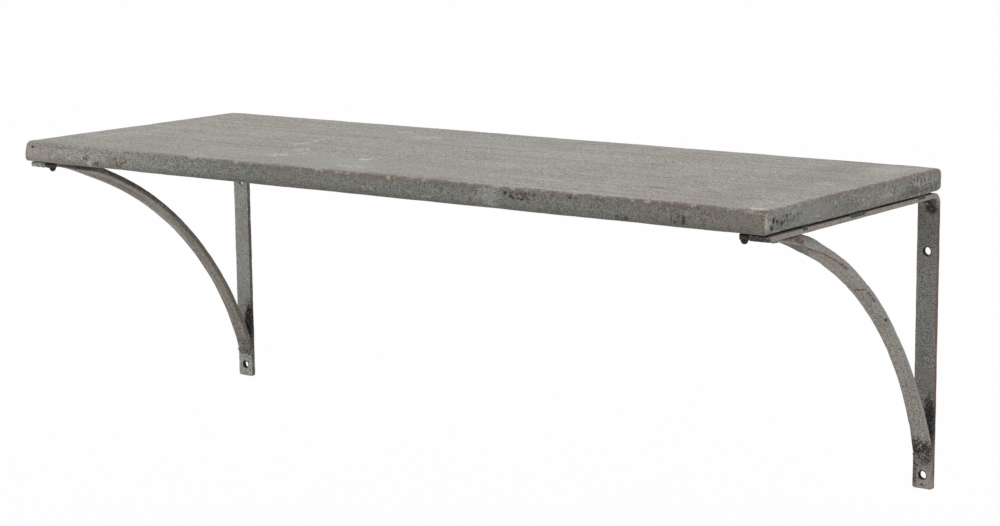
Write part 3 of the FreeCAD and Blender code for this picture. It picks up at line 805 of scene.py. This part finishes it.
def flat_bar_tree(name, operation):
    tree, inputs = new_tree(name, "middle", "full_half_width", *WEAR, section="Object", cutter="Object")
    path = geo("MeshToCurve", {"Mesh": inputs.geometry})
    path = put(tree, "GeometryNodeSetCurveNormal", {"Curve": path}, mode="FREE")
    path.inputs["Normal"].default_value = (1.0, 0.0, 0.0)
    path = geo("SetCurveTilt", {"Curve": path.outputs[0], "Tilt": attribute(tree, "twist")})
    section = geo("MeshToCurve", {"Mesh": object_mesh(inputs.section)})
    bar = geo("CurveToMesh", {"Curve": path, "Profile Curve": section, "Fill Caps": True})
    from_middle = maths("SUBTRACT", split(position(tree))[0], inputs.middle)
    share = maths("DIVIDE", attribute(tree, "half_width"), inputs.full_half_width)
    narrowed = times(from_middle, maths("SUBTRACT", share, 1.0))
    lifted = times(attribute(tree, "swell"), attribute(tree, "upper"))
    offset = shade("CombineXYZ", {0: narrowed, 2: lifted})
    bar = worn(geo("SetPosition", {"Geometry": bar, "Offset": offset}), inputs)
    bar = boolean(operation, bar, object_mesh(inputs.cutter))
    close_tree(crisp(bar), inputs)
    return tree


def flat_bar(name, tree, path, path_numbers, section, cutter, **values):
    """Runs a bar tree along a path; the section and the cutter are only helpers, and go afterwards."""
    piece = line_piece(name, path, **path_numbers)
    run_tree(piece, tree, section=section, cutter=cutter, **values)
    for helper in (section, cutter):
        bpy.data.objects.remove(helper)
    return piece


drilled_bar = flat_bar_tree("drilled_bar", "DIFFERENCE")
trimmed_bar = flat_bar_tree("trimmed_bar", "INTERSECT")
print(drilled_bar.name, len(drilled_bar.nodes), "nodes;", trimmed_bar.name, len(trimmed_bar.nodes), "nodes")

# %% [markdown]
# ## Bracket straps
# Arm and leg are one bar, bent to a right angle at the wall in a bend that is rounder than a sharp fold.
# The leg has two screw holes, and the arm's outer edge has three notches for the spacers.
# The holes' cutters are round prisms and the notches' are wedges, so one prism function makes both.

# %% Straps
BAR_THICK = 4.0 * MM
BAR_ROUNDING = 0.45 * MM
BEND_RADIUS = 7.0 * MM
LEG_CORNER, ARM_CORNER = 1.8 * MM, 2.5 * MM
HOLE_RADIUS = 3.25 * MM
HOLE_Z = 90.0 * MM
HOLE_SIDES = 40
NOTCH_DEPTH = 2.0 * MM
NOTCH_WIDTH = 6.0 * MM
NOTCH_SLANT = 1.5 * MM
NOTCH_CLEARANCE = 0.2 * MM
CUT_MARGIN = 20.0 * MM
UNEVEN_WIDTH = 0.12 * MM
SPACERS = ("front", "middle", "rear")


def bar_box(node):
    """Corners of a bar's CAD box, its middle along X, half its width, and 1 on the right, -1 on the left."""
    low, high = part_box(node)
    middle = (low.x + high.x) / 2
    return low, high, middle, (high.x - low.x) / 2, math.copysign(1, middle)


def stations(length, fine=0.5 * MM, coarse=2.0 * MM, near=6.0 * MM):
    """Distances along a stretch: fine steps within near of both ends, coarse ones between."""
    ends = np.arange(0, near, fine)
    return np.concatenate([ends, np.arange(near, length - near, coarse), length - ends[::-1]])


def corner_width(distance, corner, full):
    """Half width at a distance from a bar's end whose corners have the given radius."""
    inside = np.clip(corner - distance, 0, corner)
    return full - corner + np.sqrt(corner ** 2 - inside ** 2)


def prism(outline, axis, start, end):
    """Closed solid along an axis, from an anticlockwise outline in the two axes that follow it."""
    count = len(outline)
    points = []
    for place in (start, end):
        for pair in outline:
            point = [place] * 3
            point[(axis + 1) % 3], point[(axis + 2) % 3] = pair
            points.append(point)
    faces = [tuple(range(count))[::-1], tuple(range(count, 2 * count))]
    faces += [(i, (i + 1) % count, (i + 1) % count + count, i + count) for i in range(count)]
    return points, faces


def joined(parts):
    points, faces = [], []
    for more_points, more_faces in parts:
        start = len(points)
        points.extend(more_points)
        faces.extend(tuple(i + start for i in face) for face in more_faces)
    return points, faces


def hole_cutter(x, z):
    angles = np.linspace(0, 2 * math.pi, HOLE_SIDES, endpoint=False)
    ring = [(z + HOLE_RADIUS * math.cos(a), x + HOLE_RADIUS * math.sin(a)) for a in angles]
    return prism(ring, 1, -CUT_MARGIN, CUT_MARGIN)


def notch_cutter(spacer, arm_top, edge_x, outward):
    low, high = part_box(spacer)
    front, back = low.y - NOTCH_CLEARANCE, high.y + NOTCH_CLEARANCE
    floor, top = arm_top - NOTCH_DEPTH, high.z + 1 * MM
    outline = [(front + NOTCH_SLANT, floor), (back - NOTCH_SLANT, floor), (back, top), (front, top)]
    return prism(outline, 0, *sorted((edge_x - outward * NOTCH_WIDTH, edge_x + outward * 2 * MM)))


def make_strap(side):
    low, high, middle, half_width, outward = bar_box(f"{side}_bracket_strap")
    leg_y, arm_z = high.y - BAR_THICK / 2, high.z - BAR_THICK / 2
    bend_y, bend_z = leg_y - BEND_RADIUS, arm_z - BEND_RADIUS
    path = [(middle, leg_y, low.z + s) for s in stations(bend_z - low.z)]
    for angle in np.radians(np.linspace(0, 90, 13))[1:-1]:
        path.append((middle, bend_y + BEND_RADIUS * math.cos(angle), bend_z + BEND_RADIUS * math.sin(angle)))
    path += [(middle, bend_y - s, arm_z) for s in stations(bend_y - low.y)]
    path = np.array(path)
    width = np.minimum(corner_width(path[:, 2] - low.z, LEG_CORNER, half_width),
                       corner_width(path[:, 1] - low.y, ARM_CORNER, half_width))
    width -= UNEVEN_WIDTH * (1 + wavy(path, 30, 7 + outward))
    section = bar_section(half_width, BAR_THICK / 2, BAR_ROUNDING, (14, 3))
    parts = [hole_cutter(middle, z) for z in (-HOLE_Z, HOLE_Z)]
    for name in SPACERS:
        parts.append(notch_cutter(f"{side}_{name}_spacer", high.z, middle + outward * half_width, outward))
    cutter = mesh_piece("cutter", *joined(parts))
    strap = flat_bar(
        f"{side}_strap", drilled_bar, path, {"half_width": width, "twist": np.zeros(len(path))},
        section, cutter, middle=middle, full_half_width=half_width, dent_depth=0.22 * MM, dent_scale=60.0,
        chip_depth=0.35 * MM, chip_scale=150.0, seed=11.0 + outward, material=strap_paints[side])
    settle(strap, f"{side}_bracket_strap")


for side in SIDES:
    make_strap(side)

# %% [markdown]
# ## Arched braces
# A brace is flat bar too, hammered to a bow and drawn in at its waist. Its under face is an arc through its
# tips on the arm and on the leg. The path runs on past both, and the trimming box leaves only what lies in
# front of the leg, below the arm and behind the front tip. Both braces are twisted a little on their way up,
# and flat again at the tip; there the upper side swells, so that the foot lies on the arm for longer.

# %% Braces
BRACE_RADIUS = 312.0 * MM
BRACE_THICK = 5.0 * MM
BRACE_ROUNDING = 1.8 * MM
WAIST_HALF = 6.0 * MM
RUN_ON = math.radians(5)
TOP_TWIST = {"left": math.radians(20), "right": math.radians(18)}
UNTWIST_FROM, UNTWIST_TO = 14 * MM, 2 * MM
FOOT_SWELL = 2.6 * MM
SWELL_FROM, SWELL_TO = 19 * MM, 5 * MM
TRIM_BELOW = 50 * MM


def make_brace(side):
    low, high, middle, half_width, outward = bar_box(f"{side}_brace")
    rise, run = high.z - low.z, high.y - low.y
    chord = math.hypot(rise, run)
    to_centre = math.sqrt(BRACE_RADIUS ** 2 - chord ** 2 / 4)
    centre_y = (low.y + high.y) / 2 - to_centre * rise / chord
    centre_z = (low.z + high.z) / 2 - to_centre * run / chord
    first = math.atan2(low.z - centre_z, high.y - centre_y) - RUN_ON
    last = math.atan2(high.z - centre_z, low.y - centre_y) + RUN_ON
    radius = BRACE_RADIUS + BRACE_THICK / 2
    path = np.array([(middle, centre_y + radius * math.cos(angle), centre_z + radius * math.sin(angle))
                     for angle in np.linspace(first, last, 200)])
    height = path[:, 2]
    drawn_in = half_width - WAIST_HALF
    bow = rise ** 2 / (8 * drawn_in) + drawn_in / 2
    from_waist = np.clip(height - (low.z + high.z) / 2, -rise / 2, rise / 2)
    width = WAIST_HALF + bow - np.sqrt(bow ** 2 - from_waist ** 2)
    width -= UNEVEN_WIDTH * (1 + wavy(path, 25, 17 + outward))
    twist = TOP_TWIST[side] * np.clip((height - low.z) / rise, 0, 1)
    twist *= 1 - smooth(height, high.z - UNTWIST_FROM, high.z - UNTWIST_TO)
    swell = FOOT_SWELL * smooth(height, high.z - SWELL_FROM, high.z - SWELL_TO)
    section = bar_section(half_width, BRACE_THICK / 2, BRACE_ROUNDING, (12, 3))
    room = [(low.y, low.z - TRIM_BELOW), (high.y, low.z - TRIM_BELOW), (high.y, high.z), (low.y, high.z)]
    cutter = mesh_piece("cutter", *prism(room, 0, low.x - CUT_MARGIN, high.x + CUT_MARGIN))
    brace = flat_bar(
        f"{side}_arched_brace", trimmed_bar, path, {"half_width": width, "twist": twist, "swell": swell},
        section, cutter, middle=middle, full_half_width=half_width, dent_depth=0.3 * MM, dent_scale=50.0,
        chip_depth=0.4 * MM, chip_scale=120.0, seed=21.0 + outward, material=brace_paints[side])
    settle(brace, f"{side}_brace")


for side in SIDES:
    make_brace(side)

# %% [markdown]
# ## Weld beads
# A weld is a row of drops that ran together. They could be modelled one by one, but spheres of uneven size,
# turned into a volume and back into a mesh, run together by themselves. A noise then roughens the bead,
# which is kept inside its CAD box.

# %% Welds
DROP = 1.7 * MM
DROPS = 30
VOXEL = 0.4 * MM
LUMPS = 0.4 * MM


def weld_tree():
    tree, inputs = new_tree("weld_bead", "drop", "voxel", "rough", low="Vector", high="Vector", seed="Int")
    drop = geo("MeshIcoSphere", {"Radius": inputs.drop, "Subdivisions": 3})
    size = put(tree, "FunctionNodeRandomValue", {"Min": 0.7, "Max": 1.15, "Seed": inputs.seed}).outputs[1]
    drops = geo("InstanceOnPoints", {"Points": inputs.geometry, "Instance": drop, "Scale": size})
    drops = geo("RealizeInstances", {0: drops})
    volume = geo("MeshToVolume", {"Mesh": drops, "Density": 1.0, "Voxel Size": inputs.voxel},
                 resolution_mode="VOXEL_SIZE")
    bead = geo("VolumeToMesh", {"Volume": volume, "Voxel Size": inputs.voxel, "Threshold": 0.1},
               resolution_mode="VOXEL_SIZE")
    lumps = shade("TexNoise", {"Vector": position(tree), "Scale": 420.0, "Detail": 3.0})
    bead = pushed_in(bead, times(lumps, inputs.rough))
    kept = shade("VectorMath", {0: position(tree), 1: inputs.low}, operation="MAXIMUM")
    kept = shade("VectorMath", {0: kept, 1: inputs.high}, operation="MINIMUM")
    bead = geo("SetPosition", {"Geometry": bead, "Position": kept})
    close_tree(softened(bead), inputs)
    return tree


def make_weld(tree, side, end, seed):
    low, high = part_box(f"{side}_{end}_weld")
    rng = np.random.default_rng(seed)
    points = []
    for share in np.linspace(0, 1, DROPS):
        x = low.x + DROP + (high.x - low.x - 2 * DROP) * share + rng.uniform(-0.3, 0.3) * MM
        along = rng.uniform(2.2, 7.8) * MM
        sunk = rng.uniform(0.0, 0.9) * MM
        if end == "lower":
            points.append((x, high.y - sunk, low.z + along))
        else:
            points.append((x, low.y + along, high.z - sunk * 0.6))
    piece = line_piece(f"{side}_{end}_weld_bead", points)
    run_tree(piece, tree, drop=DROP, voxel=VOXEL, rough=LUMPS, low=tuple(low), high=tuple(high), seed=seed,
             material=weld_finish)
    settle(piece, f"{side}_{end}_weld")


weld_bead = weld_tree()
welds = [(side, end) for side in SIDES for end in ("upper", "lower")]
for seed, (side, end) in enumerate(welds, start=31):
    make_weld(weld_bead, side, end, seed)

# %% [markdown]
# ## Lugs
# Each lug is a small round-ended tab on the inner edge of the arm, roughly cut, so its rim is uneven.
# Its outline is a ring of points with a little noise. Four rings, below and above, at the rim and at the
# hole, are joined by faces and bevelled. The underside is dished between the hole and the arm.

# %% Lugs
FIXINGS = ("front", "rear")
SHANK_HOLE = 2.25 * MM
RIM_POINTS = 48
RIM_WOBBLE = 0.35 * MM
SLIMMER_END = 1.2 * MM
DISH = 1.5 * MM
LUG_BEVEL = 0.5 * MM


def lug_rim(hole_x, hole_y, root, radius):
    """Outline round the hole: uneven and round on the free side, drawn out to the root on the other."""
    outward = math.copysign(1, root - hole_x)
    rim = []
    for angle in np.linspace(0, 2 * math.pi, RIM_POINTS, endpoint=False):
        cosine, sine = math.cos(angle), math.sin(angle)
        waves = noise.noise(Vector((cosine * 1.7, sine * 1.7, hole_x * 9 + hole_y * 31)))
        reach = radius - RIM_WOBBLE * (1 + waves) - SLIMMER_END * max(0.0, -cosine * outward)
        if cosine * outward > 0:
            x = hole_x + (root - hole_x) * abs(cosine) ** 0.6
            rim.append((x, hole_y + reach * math.copysign(abs(sine) ** 0.35, sine)))
        else:
            rim.append((hole_x + reach * cosine, hole_y + reach * sine))
    return rim


def make_lug(side, name):
    low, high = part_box(f"{side}_{name}_lug")
    free, root = (low.x, high.x) if side == "right" else (high.x, low.x)
    radius = (high.y - low.y) / 2
    hole_x, hole_y = free + math.copysign(radius, root - free), (low.y + high.y) / 2
    rim = lug_rim(hole_x, hole_y, root, radius)
    ring = [(hole_x + SHANK_HOLE * math.cos(angle), hole_y + SHANK_HOLE * math.sin(angle))
            for angle in np.linspace(0, 2 * math.pi, RIM_POINTS, endpoint=False)]
    under = []
    for x, y in rim:
        towards_root = max(0.0, (x - hole_x) / (root - hole_x))
        under.append((x, y, low.z + DISH * math.sin(math.pi * towards_root)))
    rings = [under, [(*p, low.z) for p in ring], [(*p, high.z) for p in ring], [(*p, high.z) for p in rim]]
    faces = []
    for here in range(4):
        for i in range(RIM_POINTS):
            j = (i + 1) % RIM_POINTS
            first, second = here * RIM_POINTS, (here + 1) % 4 * RIM_POINTS
            faces.append((first + i, second + i, second + j, first + j))
    piece = mesh_piece(f"{side}_{name}_tab", sum(rings, []), faces)
    bevel = piece.modifiers.new("bevel", "BEVEL")
    bevel.width = LUG_BEVEL
    bevel.segments = 3
    bevel.limit_method = "ANGLE"
    bevel.angle_limit = math.radians(50)
    keep_mesh(piece)
    piece.data.shade_smooth()
    piece.data.materials.append(lug_paint)
    settle(piece, f"{side}_{name}_lug")


for side in SIDES:
    for name in FIXINGS:
        make_lug(side, name)

# %% [markdown]
# ## Screws
# Four round-head screws hold the plank. They are alike, apart from how far each was turned,
# so one tree makes them all: a dome cut from a sphere, less its slot, on a shank.

# %% Screws
SHANK_RADIUS = 2.0 * MM
SLOT_WIDTH = 1.2 * MM
SLOT_BLOCK = 2.8 * MM
HEAD_TRIM = 0.8 * MM
CROWN_TRIM = 0.2 * MM
TIP_TRIM = 1.0 * MM
BLOCK = 0.1
TURNED = {"left_front": 35, "left_rear": 110, "right_front": -20, "right_rear": 70}


def vector(x=0.0, y=0.0, z=0.0):
    return shade("CombineXYZ", {0: x, 1: y, 2: z})


def moved(geometry, **changes):
    """Transform node; the changes are translation, rotation or scale."""
    inputs = {key.capitalize(): value for key, value in changes.items()}
    return geo("Transform", {"Geometry": geometry, **inputs})


def screw_tree():
    tree, inputs = new_tree("round_head_screw", "turn", "head_radius", "head_height", "shank_radius",
                            "shank_length", "slot_width", "slot_block", place="Vector")
    head = geo("MeshUVSphere", {"Segments": 40, "Rings": 24, "Radius": inputs.head_radius})
    tall = maths("DIVIDE", inputs.head_height, inputs.head_radius)
    head = moved(head, scale=vector(1.0, 1.0, tall))
    block = put(tree, "GeometryNodeMeshCube", {"Size": (BLOCK,) * 3}).outputs[0]
    dome = boolean("INTERSECT", head, moved(block, translation=(0.0, 0.0, -BLOCK / 2)))
    slot = geo("MeshCube", {"Size": vector(BLOCK, inputs.slot_width, inputs.slot_block)})
    slot = moved(slot, translation=vector(z=times(inputs.head_height, -1.0)))
    slotted = boolean("DIFFERENCE", dome, slot)
    sizes = {"Vertices": 24, "Radius": inputs.shank_radius, "Depth": inputs.shank_length}
    shank = geo("MeshCylinder", sizes)
    shank = moved(shank, translation=vector(z=times(inputs.shank_length, 0.5)))
    screw = boolean("UNION", slotted, shank)
    screw = moved(screw, translation=inputs.place, rotation=vector(z=inputs.turn))
    close_tree(crisp(screw), inputs)
    return tree


def make_screw(tree, name, turned):
    low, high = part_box(f"{name}_screw")
    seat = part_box(f"{name}_lug")[0].z
    piece = line_piece(f"{name}_round_screw", [(0, 0, 0)])
    run_tree(piece, tree, place=((low.x + high.x) / 2, (low.y + high.y) / 2, seat), turn=math.radians(turned),
             head_radius=(high.x - low.x) / 2 - HEAD_TRIM, head_height=seat - low.z - CROWN_TRIM,
             shank_radius=SHANK_RADIUS, shank_length=high.z - seat - TIP_TRIM,
             slot_width=SLOT_WIDTH, slot_block=SLOT_BLOCK, material=screw_finish)
    settle(piece, f"{name}_screw")


round_head = screw_tree()
for name, turned in TURNED.items():
    make_screw(round_head, name, turned)

# %% [markdown]
# ## Spacers
# Small bits of green rubber sit in the notches and hold the plank off the iron. They were cut by hand,
# so each is a block with its corners rounded off and its faces a little hollow: the plank's own functions,
# at a smaller size, and the same wear tree.

# %% Spacers
SPACER_STEPS = (0, 0.15, 0.35, 0.6)
SPACER_GRID = (0.6, 0.6, 0.4)
SPACER_ROUNDING, SPACER_WAVES = 0.55, 0.2


def make_spacer(side, name, seed):
    low, high = corners(f"{side}_{name}_spacer")
    sizes = zip(low, high, [SPACER_STEPS] * 3, SPACER_GRID)
    points, faces = box_surface([graded(*size) for size in sizes])
    radius = (SPACER_ROUNDING + SPACER_WAVES * wavy(points, 3, seed)) * MM
    points, arris = rounded_off(points, low, high, radius)
    slant = NOTCH_SLANT * np.clip((high[2] - points[:, 2]) / (high[2] - low[2]), 0, 1)
    middle_y, half_y = (low[1] + high[1]) / 2, (high[1] - low[1]) / 2
    points[:, 1] = middle_y + (points[:, 1] - middle_y) * (1 - slant / half_y)
    piece = mesh_piece(f"{side}_{name}_rubber", points, faces, arris=arris)
    run_tree(piece, wear_tree, dent_depth=0.3 * MM, dent_scale=240.0, chip_depth=0.4 * MM, chip_scale=420.0,
             seed=float(seed), material=rubber_finish)
    settle(piece, f"{side}_{name}_spacer")


spacers = [(side, name) for side in SIDES for name in SPACERS]
for seed, (side, name) in enumerate(spacers, start=51):
    make_spacer(side, name, seed)

# %% [markdown]
# ## Stage and light
# The photograph is a cut-out on white, lit softly from above. A large pale floor lies well below the shelf.
# A softbox would light only the near part of so large a floor, so a sun with a wide disc is used, which
# lights all of it alike. For camera rays the floor glows a little, which makes it white but keeps the shadow.

# %% Stage
FLOOR_Z = -0.55
FLOOR_HALF = 40.0
FLOOR_GREY = (0.86, 0.86, 0.86, 1.0)
FLOOR_GLOW = 0.16
WHITE = (1.0, 1.0, 1.0, 1.0)
SUN = 0.40
SUN_WIDTH = math.radians(70)
SUN_DIRECTION = Vector((0.25, 0.35, -1.0))
AMBIENT = 0.60


def seen_directly(tree):
    """1 for what the camera sees, straight, in a reflection or through glass."""
    path = put(tree, "ShaderNodeLightPath").outputs
    mirrored = maths("MAXIMUM", path["Is Glossy Ray"], path["Is Transmission Ray"])
    return maths("MAXIMUM", path["Is Camera Ray"], mirrored)


floor_corners = [(x * FLOOR_HALF, y * FLOOR_HALF, FLOOR_Z) for x, y in ((-1, -1), (1, -1), (1, 1), (-1, 1))]
floor = mesh_piece("floor", floor_corners, [(0, 1, 2, 3)])
material, tree = new_finish("pale_floor")
paper = put(tree, "ShaderNodeBsdfDiffuse", {"Color": FLOOR_GREY}).outputs[0]
strength = times(seen_directly(tree), FLOOR_GLOW)
glow = shade("Emission", {"Color": WHITE, "Strength": strength})
put(tree, "ShaderNodeOutputMaterial", {"Surface": shade("AddShader", {0: paper, 1: glow})})
floor.data.materials.append(material)

world = bpy.data.worlds.new("studio")
bpy.context.scene.world = world
world.use_nodes = True
tree = world.node_tree
tree.nodes.clear()
ambient = put(tree, "ShaderNodeBackground", {"Color": WHITE, "Strength": AMBIENT}).outputs[0]
white = put(tree, "ShaderNodeBackground", {"Color": WHITE, "Strength": 1.0}).outputs[0]
sky = shade("MixShader", {0: seen_directly(tree), 1: ambient, 2: white})
put(tree, "ShaderNodeOutputWorld", {"Surface": sky})

lamp = bpy.data.lights.new("wide_sun", "SUN")
lamp.energy = SUN * math.pi
lamp.angle = SUN_WIDTH
holder = link(bpy.data.objects.new("wide_sun", lamp))
holder.rotation_euler = SUN_DIRECTION.to_track_quat("-Z", "Y").to_euler()
bpy.context.scene.view_settings.view_transform = "Standard"
print("floor at", FLOOR_Z, "m, sun", SUN, "ambient", AMBIENT)
